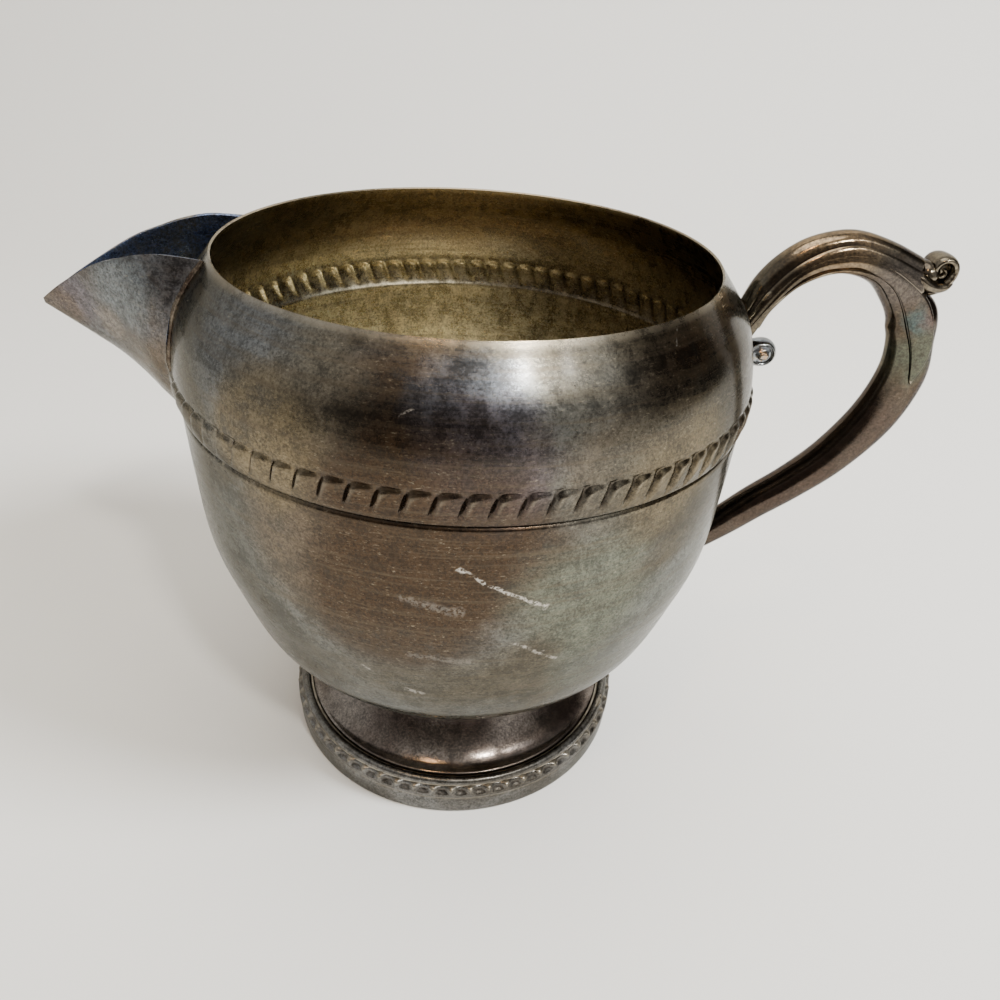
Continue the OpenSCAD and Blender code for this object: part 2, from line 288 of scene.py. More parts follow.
def tarnishedSilver(name, look):
    material = bpy.data.materials.new(name)
    material.use_nodes = True
    tree = material.node_tree
    shader = tree.nodes["Principled BSDF"]
    shader.inputs["Metallic"].default_value = look["metallic"]
    shader.inputs["Specular Tint"].default_value = look["edgeTint"]
    shader.inputs["Coat Weight"].default_value = look["coat"]
    shader.inputs["Coat Roughness"].default_value = look["coatRoughness"]
    where = addNode(tree, "ShaderNodeTexCoord").outputs["Object"]

    broad = clouds(tree, where, look["cloudScale"], 5.0, 0.6, 0.6)
    fine = clouds(tree, where, look["cloudScale"] * 9, 9.0, 0.75, 0.2)
    dust = clouds(tree, where, 2400, 3.0, 0.75)
    wisp = clouds(tree, stretched(tree, where, (22, 22, 900)), 1.0, 5.0, 0.75)
    colour = mixColour(tree, spread(tree, broad, 0.38, 0.64), look["silver"], look["tarnish"])

    shape = math2(tree, "ADD", math2(tree, "MULTIPLY", broad, 0.7), math2(tree, "MULTIPLY", fine, 0.3))
    wobble = math2(tree, "MULTIPLY", math2(tree, "SUBTRACT", shape, 0.5), look["patchWobble"])
    for patchColour, centre, radius, strength in look["patches"]:
        ragged = math2(tree, "ADD", offCentre(tree, where, centre), wobble)
        inside = spread(tree, ragged, radius * 0.45, radius, strength, 0.0)
        broken = math2(tree, "MULTIPLY", inside, spread(tree, fine, 0.3, 0.55, 0.6, 1.0))
        colour = mixColour(tree, broken, colour, patchColour)
    if "mouth" in look:
        mouth = mixColour(tree, spread(tree, fine, 0.4, 0.6), look["mouth"], look["mouthStain"])
        above = spread(tree, heightAbove(tree, where), 0.0850, 0.0875)
        colour = mixColour(tree, math2(tree, "MULTIPLY", insideMask(tree, where), above), colour, mouth)
    if "inside" in look:
        lining = mixColour(tree, spread(tree, broad, 0.35, 0.65), look["inside"], look["insideStain"])
        ragged = math2(tree, "ADD", offCentre(tree, where, (0.030, 0.030, 0.095)), wobble)
        lining = mixColour(tree, spread(tree, ragged, 0.015, 0.058, 0.93, 0), lining, look["insideDark"])
        height = heightAbove(tree, where)
        # the inside wall turns darker toward the rim
        wavyHeight = math2(tree, "ADD", height, math2(tree, "MULTIPLY", wobble, 0.3))
        upper = spread(tree, wavyHeight, 0.083, 0.0900, 0.0, 0.90)
        lining = mixColour(tree, upper, lining, look["insideDark"])
        colour = mixColour(tree, insideMask(tree, where), colour, lining)
        onRim = spread(tree, height, 0.09915, 0.09928, 0.0, 0.8)
        colour = mixColour(tree, onRim, colour, look["insideDark"])

    uneven = math2(tree, "ADD", math2(tree, "MULTIPLY", fine, 0.45), math2(tree, "MULTIPLY", dust, 0.55))
    mottle = spread(tree, uneven, 0.38, 0.62, 1.0 - look["mottle"], 1.0 + look["mottle"])
    shaded = addNode(tree, "ShaderNodeVectorMath", operation="SCALE")
    tree.links.new(colour, shaded.inputs[0])
    tree.links.new(mottle, shaded.inputs["Scale"])
    colour = shaded.outputs["Vector"]
    streaks = math2(tree, "MULTIPLY", spread(tree, wisp, 0.45, 0.7), look["streak"])
    colour = mixColour(tree, streaks, colour, look["streakColour"])
    grains = clouds(tree, stretched(tree, where, (1, 1, 3)), look["grainScale"], 4.0, 0.75)
    bright = spread(tree, grains, 0.56, 0.72, 0.0, look["speckle"])
    bright = math2(tree, "MULTIPLY", bright, spread(tree, fine, 0.4, 0.6))
    colour = mixColour(tree, bright, colour, look["speckleColour"])
    pits = spread(tree, grains, 0.42, 0.28, 0.0, look["pits"])
    colour = mixColour(tree, pits, colour, look["pitColour"])

    bend = addNode(tree, "ShaderNodeNewGeometry").outputs["Pointiness"]  # rubbed edges turn pale, and the same pale colour paints a highlight along crests; hollows keep dirt
    wornAndGlinting = spread(tree, bend, 0.524, 0.585, 0.0, look["wearAndGlint"])
    wornAndGlinting = math2(tree, "MULTIPLY", wornAndGlinting, spread(tree, fine, 0.3, 0.5, 0.4, 1.0))
    colour = mixColour(tree, wornAndGlinting, colour, look["wornAndGlintColour"])
    colour = mixColour(tree, spread(tree, bend, 0.488, 0.44, 0.0, 0.85), colour, look["pitColour"])

    low, high = look["roughness"]
    dull = math2(tree, "ADD", math2(tree, "MULTIPLY", fine, 0.6), math2(tree, "MULTIPLY", wisp, 0.4))
    if look["marks"]:
        marks = scratches(tree, where, look["marks"])
        colour = mixColour(tree, marks, colour, look["markColour"])
        dull = math2(tree, "ADD", dull, math2(tree, "MULTIPLY", marks, 0.3))
    tree.links.new(colour, shader.inputs["Base Color"])
    tree.links.new(spread(tree, dull, 0.35, 0.65, low, high), shader.inputs["Roughness"])

    relief = math2(tree, "ADD", math2(tree, "MULTIPLY", wisp, look["brushBump"]),
                   math2(tree, "MULTIPLY", grains, look["grainBump"]))
    relief = math2(tree, "ADD", relief, math2(tree, "MULTIPLY", fine, look["dentBump"]))
    bump = addNode(tree, "ShaderNodeBump", Strength=look["bump"], Distance=0.00006)
    tree.links.new(relief, bump.inputs["Height"])
    tree.links.new(bump.outputs["Normal"], shader.inputs["Normal"])
    return material


umber = (0.041, 0.024, 0.012)
walnut = (0.105, 0.074, 0.045)
olive = (0.145, 0.113, 0.064)
teal = (0.110, 0.118, 0.090)
steelBlue = (0.088, 0.103, 0.135)
violet = (0.115, 0.098, 0.115)
paleGrey = (0.155, 0.166, 0.162)
inkBlue = (0.30, 0.40, 0.70)
bronze = (0.36, 0.24, 0.13)
deepBrown = (0.045, 0.028, 0.020)

bodyLook = {
    "metallic": 1.0,
    "edgeTint": (0.48, 0.48, 0.46, 1.0),
    "coat": 0.3,
    "coatRoughness": 0.13,
    # pale edge colour: partly real wear, partly a painted highlight along the lobe crests
    "wearAndGlint": 0.45,
    "wornAndGlintColour": (0.46, 0.40, 0.30),
    "silver": (0.116, 0.119, 0.112),
    "tarnish": (0.072, 0.062, 0.044),
    "inside": (0.84, 0.79, 0.61),
    "insideStain": (0.66, 0.58, 0.40),
    "insideDark": (0.080, 0.052, 0.022),
    "cloudScale": 34,
    "patchWobble": 0.030,
    "patches": [
        (walnut, (-0.0190, -0.0430, 0.070), 0.016, 0.70),
        (umber, (-0.0085, -0.0465, 0.062), 0.018, 0.92),
        (umber, (-0.0060, -0.0468, 0.074), 0.019, 0.95),
        (umber, (0.0060, -0.0468, 0.072), 0.013, 0.85),
        (umber, (-0.0110, -0.0455, 0.088), 0.016, 0.85),
        (umber, (0.0020, -0.0470, 0.084), 0.012, 0.80),
        (steelBlue, (0.0010, -0.0440, 0.093), 0.009, 0.60),
        (violet, (0.0040, -0.0450, 0.086), 0.010, 0.45),
        (umber, (0.0350, -0.0310, 0.087), 0.024, 0.95),
        (walnut, (0.0200, -0.0430, 0.084), 0.010, 0.60),
        ((0.070, 0.064, 0.049), (0.0260, -0.0390, 0.082), 0.016, 0.90),
        ((0.055, 0.050, 0.040), (0.0330, -0.0340, 0.080), 0.015, 0.90),
        ((0.150, 0.132, 0.098), (-0.0190, -0.0400, 0.0930), 0.009, 0.75),
        (umber, (-0.0040, -0.0470, 0.079), 0.015, 0.80),
        ((0.135, 0.142, 0.148), (-0.0300, -0.0310, 0.093), 0.013, 0.75),
        (teal, (0.0185, -0.0435, 0.063), 0.014, 0.85),
        (olive, (0.0290, -0.0380, 0.080), 0.012, 0.60),
        (teal, (0.0240, -0.0370, 0.050), 0.018, 0.60),
        (paleGrey, (-0.0440, -0.0180, 0.062), 0.026, 0.60),
        (paleGrey, (0.0350, -0.0300, 0.052), 0.018, 0.50),
        (olive, (-0.0250, -0.0370, 0.084), 0.012, 0.85)],
    "mottle": 0.50,
    "streak": 0.45,
    "streakColour": (0.118, 0.092, 0.060),
    "grainScale": 1300,
    "speckle": 0.45,
    "speckleColour": (0.50, 0.43, 0.31),
    "pits": 0.5,
    "pitColour": (0.05, 0.038, 0.03),
    "markColour": (0.62, 0.58, 0.52),
    "marks": [
        ((-0.2, -47.3, 70.8), (3.3, -47.2, 68.3), 0.45, 0.8),
        ((4.4, -47.0, 67.7), (12.2, -45.5, 63.0), 0.5, 0.8),
        ((8.3, -45.9, 56.4), (14.7, -43.4, 51.1), 0.42, 0.55),
        ((11.0, -44.6, 54.2), (13.4, -43.9, 53.4), 0.35, 0.6),
        ((-7.9, -46.5, 64.6), (0.0, -47.0, 62.9), 1.1, 0.15),
        ((-6.6, -45.8, 53.4), (2.0, -46.1, 52.7), 0.9, 0.14),
        ((-7.2, -42.9, 43.2), (-5.2, -43.1, 42.4), 0.8, 0.45),
        ((-13.9, -42.6, 47.8), (-12.9, -42.6, 47.1), 0.5, 0.5),
        ((-7.6, -44.8, 91.5), (-6.2, -44.7, 92.4), 0.3, 0.8),
        ((27.0, -29.6, 99.2), (26.9, -32.3, 96.8), 0.22, 0.5)],
    "roughness": (0.20, 0.38),
    "brushBump": 0.7, "grainBump": 0.25, "dentBump": 0.5, "bump": 0.35}
plainLook = {key: value for key, value in bodyLook.items() if not key.startswith("inside")} | {"marks": []}

silverOnBody = tarnishedSilver("silverOnBody", bodyLook)
silverOnSpout = tarnishedSilver("silverOnSpout", plainLook | {
    "silver": (0.150, 0.150, 0.158), "tarnish": (0.088, 0.075, 0.068), "patchWobble": 0.014,
    "patches": [
        (walnut, (-0.0490, -0.0090, 0.0780), 0.010, 0.80),
        (walnut, (-0.0450, -0.0130, 0.0830), 0.006, 0.60),
        ((0.155, 0.178, 0.190), (-0.0520, -0.0090, 0.0930), 0.009, 0.70),
        (violet, (-0.0630, -0.0030, 0.0890), 0.006, 0.60),
        ((0.26, 0.22, 0.18), (-0.0560, -0.0060, 0.0860), 0.004, 0.50),
        (walnut, (-0.0660, -0.0020, 0.0870), 0.005, 0.60)],
    "mouth": inkBlue, "mouthStain": (0.13, 0.15, 0.20), "wearAndGlint": 0.3,
    "streak": 0.15, "speckle": 0.5, "pits": 0.8, "cloudScale": 80})
silverOnFoot = tarnishedSilver("silverOnFoot", plainLook | {
    "silver": (0.19, 0.165, 0.145), "tarnish": (0.085, 0.065, 0.055), "patches": [],
    "streak": 0.2, "speckle": 0.15, "pits": 0.4, "roughness": (0.14, 0.26)})
silverOnBorder = tarnishedSilver("silverOnBorder", plainLook | {
    "silver": (0.155, 0.153, 0.147), "tarnish": (0.088, 0.082, 0.073), "patches": [],
    "streak": 0.3, "speckle": 0.3, "pits": 0.6, "roughness": (0.26, 0.42), "cloudScale": 80})
silverOnHandle = tarnishedSilver("silverOnHandle", plainLook | {
    "silver": (0.088, 0.073, 0.050), "tarnish": (0.047, 0.031, 0.016), "patchWobble": 0.012,
    "coat": 0.45, "edgeTint": (0.32, 0.30, 0.26, 1.0),
    "patches": [
        (deepBrown, (0.0690, -0.0020, 0.0640), 0.022, 0.85),
        (deepBrown, (0.0560, -0.0020, 0.0500), 0.016, 0.70),
        # painted golden highlight: a bronze patch on the top bead of the arm
        (bronze, (0.0580, 0.0000, 0.1040), 0.010, 0.45),
        ((0.078, 0.064, 0.055), (0.0700, -0.0040, 0.0970), 0.007, 0.80),
        ((0.040, 0.066, 0.066), (0.0750, -0.0040, 0.0915), 0.0040, 0.90),
        ((0.086, 0.054, 0.046), (0.0775, -0.0040, 0.0925), 0.004, 0.80),
        ((0.052, 0.060, 0.041), (0.0775, -0.0040, 0.0850), 0.007, 0.80)],
    "streak": 0.1, "speckle": 0.2, "pits": 0.8, "roughness": (0.10, 0.22), "cloudScale": 90})
silverOnScroll = tarnishedSilver("silverOnScroll", plainLook | {
    "silver": (0.125, 0.103, 0.070), "tarnish": (0.055, 0.040, 0.024), "patches": [], "coat": 0.6,
    "edgeTint": (0.32, 0.30, 0.26, 1.0),
    "streak": 0.0, "speckle": 0.2, "pits": 0.5, "roughness": (0.12, 0.24), "cloudScale": 160})
silverOnCurl = tarnishedSilver("silverOnCurl", plainLook | {
    "silver": (0.30, 0.33, 0.36), "tarnish": (0.17, 0.18, 0.19), "coat": 0.5,
    "patches": [(bronze, (0.0512, -0.0024, 0.0834), 0.0011, 0.9)],
    "streak": 0.0, "speckle": 0.2, "pits": 0.5, "roughness": (0.12, 0.24), "cloudScale": 160})
solderGrey = tarnishedSilver("solderGrey", plainLook | {
    "silver": (0.16, 0.135, 0.105), "tarnish": (0.07, 0.05, 0.038), "patches": [], "wearAndGlint": 0.0, "coat": 0.0,
    "streak": 0.0, "speckle": 0.6, "pits": 0.8, "roughness": (0.35, 0.55), "cloudScale": 260})
print("finishes made")


# Body

body = {
    "rimRadius": 40, "rimHeight": 99.3, "bellyRadius": 47.75, "wall": 0.7,
    "bandMiddle": 80.3, "bandHalf": 2.6, "lobes": 80, "lobeProud": 0.85,
    "lobeLean": 0.55,  # how far a lobe leans, in lobe widths
    "holeWidth": 3, "holePitch": 4.8,
    "holeRows": [(7, 3), (11, 4), (15, 3)]}  # each row's distance below the rim, and its number of holes

belly = body["bellyRadius"]
rimHeight = body["rimHeight"]
bandMiddle = body["bandMiddle"]
bodyShape = [
    (body["rimRadius"], rimHeight), (belly - 2.9, rimHeight - 6.3), (belly - 1, rimHeight - 11.3),
    (belly - 0.15, bandMiddle + 3.2), (belly - 0.2, bandMiddle + 2.2), (belly - 0.25, bandMiddle),
    (belly - 0.3, bandMiddle - 2.3), (belly - 0.6, bandMiddle - 3.3), (belly - 0.45, bandMiddle - 4.3),
    (belly - 0.75, 65), (belly - 1.45, 54), (belly - 4.05, 44), (belly - 6.65, 36), (belly - 9.35, 31.3),
    (belly - 13.3, 27.2), (belly - 18.8, 23.4), (belly - 25.8, 20.4), (belly - 35.8, 18.5), (0.0, 18.0)]
bodyCurve = smoothCurve([(r, 0, z) for r, z in bodyShape], 4)


def bodyRadius(height):
    for upper, lower in zip(bodyCurve, bodyCurve[1:]):
        if lower.z <= height <= upper.z:
            return lower.x + (upper.x - lower.x) * (height - lower.z) / (upper.z - lower.z)
    return body["rimRadius"]


def undersideHeight(radius):
    lowCurve = [p for p in bodyCurve if p.z < 60]
    for outer, inner in zip(lowCurve, lowCurve[1:]):
        if inner.x <= radius <= outer.x:
            return inner.z + (outer.z - inner.z) * (radius - inner.x) / (outer.x - inner.x)
    return 18.0


def wallRows():  # heights of the rings of the wall, closer together across the band
    bottom, top = bandMiddle - body["bandHalf"], bandMiddle + body["bandHalf"]
    rows = [(p.x, p.z) for p in bodyCurve if p.z > top + 0.4]
    bandHeights = [top + rise for rise in (0.25, 0.05, -0.12, -0.35, -0.7, -1.2, -1.9, -2.7, -3.5, -4.2)]
    bandHeights += [bottom + rise for rise in (0.5, 0.15, -0.12, -0.3, -0.5, -0.75, -1.0)]
    rows += [(bodyRadius(z), z) for z in bandHeights]
    rows += [(p.x, p.z) for p in bodyCurve if p.z < bottom - 1.3]
    return [(r * mm, z * mm) for r, z in rows]


def lobeRelief(phase, rise):  # height of the chased lobes, steep on the left and falling away to the right
    arch = 1 - 0.1 * abs(2 * phase - 1) ** 2.5  # each lobe has a rounded top
    top = ease((arch - rise) / 0.17)
    foot = 0.3 + 0.7 * ease(rise / 0.5)
    crest = ease(phase / 0.2) * (1 - 0.62 * phase ** 1.4)
    return top * foot * (1 - (1 - crest) * ease((rise + 0.05) / 0.45))


def chaseBand(piece):  # pushes the lobes out of the plain wall, as a chasing tool does
    columns = body["lobes"] * 8
    warp = [0.0, 0.06, 0.13, 0.22, 0.38, 0.58, 0.78, 0.93]  # columns crowd toward the creases
    low, high = bandMiddle - body["bandHalf"], bandMiddle + body["bandHalf"]
    for vertex in piece.data.vertices:
        radius = math.hypot(vertex.co.x, vertex.co.y) / mm
        height = vertex.co.z / mm
        if radius < 30 or not low - 1.1 < height < high + 0.3:
            continue
        rise = (height - low) / (high - low)
        column = round(math.atan2(vertex.co.y, vertex.co.x) / fullTurn * columns) % columns
        phase = warp[column % 8]
        lean = body["lobeLean"] * (min(max(rise, 0), 1) ** 0.65 - 0.6)
        fade = ease((rise + 0.15) / 0.15) * ease((1.05 - rise) / 0.05)
        turn = (column // 8 + phase + lean * fade) / body["lobes"] * fullTurn
        if rise >= 0:
            radius += body["lobeProud"] * lobeRelief(phase, rise) - 0.12 * ease((1.1 - rise) * 4)
        else:  # a fine double groove under the lobes
            radius += 0.16 * math.cos((rise * (high - low) + 0.12) / 0.42 * math.pi) - 0.12
        vertex.co = (radius * mm * math.cos(turn), radius * mm * math.sin(turn), vertex.co.z)


def evenInside(piece, outside):  # the inside follows the band squarely and thins out toward the rim
    for vertex, outer in zip(list(piece.data.vertices)[len(outside):], outside):
        height = outer.z / mm
        if bandMiddle - 5 < height < bandMiddle + 4:
            across = math.hypot(outer.x, outer.y)
            shrink = 1 - body["wall"] * mm / across
            if height < bandMiddle - body["bandHalf"]:
                shrink = (bodyRadius(height) - body["wall"]) * mm / across
            vertex.co = (outer.x * shrink, outer.y * shrink, outer.z)
        elif height > rimHeight - 3:
            vertex.co = vertex.co.lerp(outer, 0.5 * (height - rimHeight + 3) / 3)


def softenInside(piece, firstInner):  # the lobes show more softly on the inside of the sheet
    startEditing(piece)
    stopEditing()
    for vertex in piece.data.vertices:
        onBand = bandMiddle - 4.6 < vertex.co.z / mm < bandMiddle + 3.6
        vertex.select = onBand and vertex.index >= firstInner
    bpy.ops.object.mode_set(mode="EDIT")
    bpy.ops.mesh.vertices_smooth(factor=0.5, repeat=4)
    stopEditing()


def pierceHoles(piece):  # ten pour holes, in rows, where the spout joins
    drills = []
    for belowRim, count in body["holeRows"]:
        for i in range(count):
            bpy.ops.mesh.primitive_cylinder_add(
                vertices=24, radius=body["holeWidth"] / 2 * mm, depth=12 * mm, rotation=(0, math.pi / 2, 0),
                location=(-(belly - 2) * mm, (i - (count - 1) / 2) * body["holePitch"] * mm,
                          (rimHeight - belowRim) * mm))
            drills.append(bpy.context.object)
    drill = joinPieces(drills, "drills")
    applyModifier(piece, "BOOLEAN", object=drill, operation="DIFFERENCE", solver="EXACT")
    bpy.data.objects.remove(drill)


jugBody = drawOutline("jugBody", wallRows())
spinOutline(jugBody, body["lobes"] * 8)
chaseBand(jugBody)
outside = [vertex.co.copy() for vertex in jugBody.data.vertices]
applyModifier(jugBody, "SOLIDIFY", thickness=body["wall"] * mm, offset=-1, use_even_offset=True)
evenInside(jugBody, outside)
softenInside(jugBody, len(outside))
cleanMesh(jugBody, 0.00001)
pierceHoles(jugBody)
smoothShade(jugBody, 50)
finishPiece(jugBody, silverOnBody, "tarnished_plate", "body")


# Spout

spout = {
    "reach": 69.3, "angle": 17.7, "keelFoot": 66.5, "tipBelowRim": 12.6,
    "seamBelowRim": 0.9, "across": 48, "alongIt": 56}

reach = spout["reach"]
tipHeight = rimHeight - spout["tipBelowRim"]
seamTop = rimHeight - spout["seamBelowRim"]
keelFoot = spout["keelFoot"]
spoutTurn = math.radians(spout["angle"])
keelLine = [Vector(p) for p in [
    (-bodyRadius(keelFoot), 0, keelFoot), (-reach + 17.9, 0, 71), (-reach + 14.6, 0, 74.8),
    (-reach + 11.1, 0, 78.4), (-reach + 6.6, 0, 81.9), (-reach, 0, tipHeight)]]
lipLine = [Vector(p) for p in [
    (-body["rimRadius"] * math.cos(spoutTurn) - 0.6,
     body["rimRadius"] * math.sin(spoutTurn) + 0.2, seamTop),
    (-reach + 25, 11.6, rimHeight - 0.6), (-reach + 20.6, 10.3, rimHeight - 1.2),
    (-reach + 17.1, 9, rimHeight - 2.2), (-reach + 13.3, 7.4, rimHeight - 3.5),
    (-reach + 8.7, 4.8, rimHeight - 6), (-reach + 4.2, 2.6, rimHeight - 8.8),
    (-reach + 0.2, 0.7, tipHeight + 0.9)]]


def climb(side):  # how a cross-section climbs from the keel, side 0, to the lip, side 1
    return 0.6 * (1 - math.cos(math.pi / 2 * side)) + 0.4 * side


def widen(side):
    return 0.55 * math.sin(math.pi / 2 * side) + 0.45 * side


def seamPoint(side, out=0.0, lift=0.0):
    s = abs(side)
    height = keelFoot + (seamTop - keelFoot) * climb(s)
    share = min(1, (height - keelFoot) / (rimHeight - 11.3 - keelFoot))
    turn = spoutTurn * math.sin(math.pi / 2 * share ** 0.75) + out / belly * widen(s)
    low = height - out * (1 - climb(s))
    radius = bodyRadius(low) + lift
    return Vector((-radius * math.cos(turn), math.copysign(radius * math.sin(turn), side), low))


def spoutPoint(u, side):
    s = abs(side)

    def straightSection(share):
        keel, lip = along(keelLine, share), along(lipLine, share)
        point = keel + (lip - keel) * climb(s)
        point.y = math.copysign(lip.y * widen(s), side)
        return point
    return straightSection(u) + (1 - u) ** 3 * (seamPoint(side) - straightSection(0.0))


jugSpout = layGrid("jugSpout", spout["across"], spout["alongIt"],
                   lambda u, v: spoutPoint(v, 2 * u - 1) * mm)
startEditing(jugSpout, "SELECT")
bpy.ops.mesh.normals_make_consistent(inside=False)
stopEditing()
applyModifier(jugSpout, "SOLIDIFY", thickness=body["wall"] * mm, offset=1, use_even_offset=True)
applyModifier(jugSpout, "BEVEL", width=0.16 * mm, segments=3,
              limit_method="ANGLE", angle_limit=math.radians(60))
cleanMesh(jugSpout, 0.000005)
smoothShade(jugSpout, 50)
finishPiece(jugSpout, silverOnSpout, "spout_plate", "spout")


def beadAlong(name, path, radius, sides=8):  # a round bead of solder that follows a path
    count = len(path) - 1

    def ringPoint(u, v):
        i = min(round(v * count), count)
        run = (path[min(i + 1, count)] - path[max(i - 1, 0)]).normalized()
        across = run.cross(Vector((0.3, 0.2, 1))).normalized()
        up = across.cross(run)
        size = radius(i / count) if callable(radius) else radius
        turn = u * fullTurn
        return (path[i] + size * (across * math.cos(turn) + up * math.sin(turn))) * mm
    piece = layGrid(name, sides, count, ringPoint)
    cleanMesh(piece, 0.000004)
    fillOpenRings(piece)
    return piece


seamPath = [seamPoint(-1 + 2 * i / 120, 0.55, 0.12) for i in range(121)]
spoutSolder = beadAlong("spoutSolder", seamPath,
                        lambda u: 0.42 + 0.1 * math.sin(u * 37) + 0.06 * math.sin(u * 91))
smoothShade(spoutSolder, 60)
finishPiece(spoutSolder, solderGrey, "solder", "spout_solder")


# Foot

foot = {
    "baseRadius": 34.5, "baseHeight": 4.4, "borderHeight": 2.7, "neckRadius": 23, "neckTop": 18.5,
    "flutes": 60, "fluteDeep": 0.8}

baseRadius = foot["baseRadius"]
collarRadius = baseRadius - 2.9
beadHeight = foot["baseHeight"] + foot["borderHeight"]
scoopLow = beadHeight + 0.8
neckRadius = foot["neckRadius"]


def inMetres(outline):
    return [(r * mm, z * mm) for r, z in outline]


def scoopOutline(steps):  # the hollow curve from the collar up to the neck
    wide, tall = collarRadius - 0.6 - neckRadius, foot["neckTop"] - scoopLow
    for i in range(steps + 1):
        turn = math.pi / 2 * i / steps
        yield (collarRadius - 0.6 - wide * math.sin(turn) ** (4 / 3),
               foot["neckTop"] - tall * max(math.cos(turn), 0) ** (4 / 3))


footOutline = [(collarRadius, 0.4), (collarRadius, scoopLow - 0.55), (collarRadius - 0.06, scoopLow - 0.28),
               (collarRadius - 0.24, scoopLow - 0.12), (collarRadius - 0.45, scoopLow - 0.04)]
footOutline += list(scoopOutline(20)) + [(neckRadius, undersideHeight(neckRadius) - 0.02)]
jugFoot = drawOutline("jugFoot", inMetres(footOutline))
spinOutline(jugFoot, 192)
applyModifier(jugFoot, "SOLIDIFY", thickness=body["wall"] * mm, offset=-1, use_even_offset=True)
cleanMesh(jugFoot, 0.000005)
smoothShade(jugFoot, 45)
finishPiece(jugFoot, silverOnFoot, "foot_plate", "foot")

ringOutline = [(collarRadius, 0.3), (collarRadius + 0.3, 0), (baseRadius - 0.7, 0),
               (baseRadius - 0.3, 0.12), (baseRadius - 0.06, 0.45), (baseRadius, 1), (baseRadius, 3.4),
               (baseRadius - 0.05, 4.1), (baseRadius - 0.2, 4.4), (collarRadius, 4.4), (collarRadius, 0.3)]
baseRing = drawOutline("baseRing", inMetres(ringOutline))
spinOutline(baseRing, 192)
smoothShade(baseRing, 45)
finishPiece(baseRing, silverOnBorder, "border_plate", "foot_base_ring")


def borderPoint(u, v):  # short upright flutes round a rounded strip
    turn = u * fullTurn
    height = foot["baseHeight"] + foot["borderHeight"] * v
    if v < 0.001 or v > 0.999:
        radius = collarRadius
    else:
        ridge = (0.5 + 0.5 * math.cos(turn * foot["flutes"])) ** 2.2
        radius = baseRadius + 0.2 - 0.35 * ease((0.12 - v) / 0.12)
        radius -= foot["fluteDeep"] * (1 - ridge) * ease((v - 0.3) / 0.35)
        radius -= 0.7 * ease((v - 0.8) / 0.2)
    return Vector((radius * math.cos(turn), radius * math.sin(turn), height)) * mm


flutedBorder = layGrid("flutedBorder", foot["flutes"] * 8, 14, borderPoint)
cleanMesh(flutedBorder, 0.00001)
startEditing(flutedBorder)
bpy.ops.mesh.select_non_manifold()
bpy.ops.mesh.bridge_edge_loops()
stopEditing()
cleanMesh(flutedBorder, 0.000005)
smoothShade(flutedBorder, 50)
finishPiece(flutedBorder, silverOnBorder, "border_plate", "foot_border")

beadMiddle = collarRadius + 1.3
beadTurns = [math.pi * i / 12 for i in range(13)]
beadOutline = [(beadMiddle + 0.92 * math.cos(turn), beadHeight + 1.2 * math.sin(turn)) for turn in beadTurns]
footBead = drawOutline("footBead", inMetres(beadOutline + beadOutline[:1]))
spinOutline(footBead, 192)
smoothShade(footBead, 45)
finishPiece(footBead, silverOnBorder, "border_plate", "foot_bead")

neckUnder = undersideHeight(neckRadius)
solderOutline = [(neckRadius + 0.02, neckUnder - 1.5)]
for i in range(9):  # a hollow fillet between the neck and the underside
    turn = math.pi / 2 * i / 8
    radius = neckRadius + 1.3 - 1.28 * math.cos(turn)
    height = neckUnder - 1.5 + 1.9 * math.sin(turn) ** 2
    solderOutline.append((radius, min(undersideHeight(radius) - 0.02, height)))
solderOutline += [(neckRadius + 0.02, neckUnder - 0.02), solderOutline[0]]
footSolder = drawOutline("footSolder", inMetres(solderOutline))
spinOutline(footSolder, 192)
smoothShade(footSolder, 45)
finishPiece(footSolder, solderGrey, "solder", "foot_solder")


# Handle

handle = {
    "width": 7.4, "thumb": (77.5, 0.4), "curl": (51.2, -15.9), "curlRadius": 2.5,
    "topStart": 0.62, "grooveStart": 0.56, "secondStart": 0.28, "edgeStart": 0.2}  # parts of the moulding

halfWidth = handle["width"] / 2


def belowRim(points):
    return [Vector((x, 0, rimHeight + z)) for x, z in points]


armTop = belowRim([(43, -13), (45.4, -8.2), (47.2, -3.2), (50, 0.6), (54, 3.6), (59, 5.2), (63.2, 5.3),
                   (68.6, 3.9), (73.6, 1.9)])
armGroove = belowRim([(44, -13.2), (46.2, -9), (48.6, -4.4), (51.6, -0.6), (55.5, 2.2), (59, 3.5),
                      (62.6, 3.7), (68.1, 2.2), (73, 0.2)])
armEdge = belowRim([(45, -13.4), (47.4, -9), (50.3, -4.6), (53, -1.2), (56, 0.7), (59.2, 1.6), (62.7, 1.8),
                    (68.2, 0.4), (73.9, -2.8), (77.2, -6.5), (79, -11.4), (79, -15.6), (77.6, -19.4)])
armInner = belowRim([(46.8, -14), (48.2, -10.8), (50.4, -5.8), (53.3, -2.3), (56.4, -0.5), (59.8, 0.2),
                     (63.2, 0.1), (68.4, -2.4), (71.4, -5.7), (73.8, -9.8), (75.6, -13.6), (77, -18.2)])


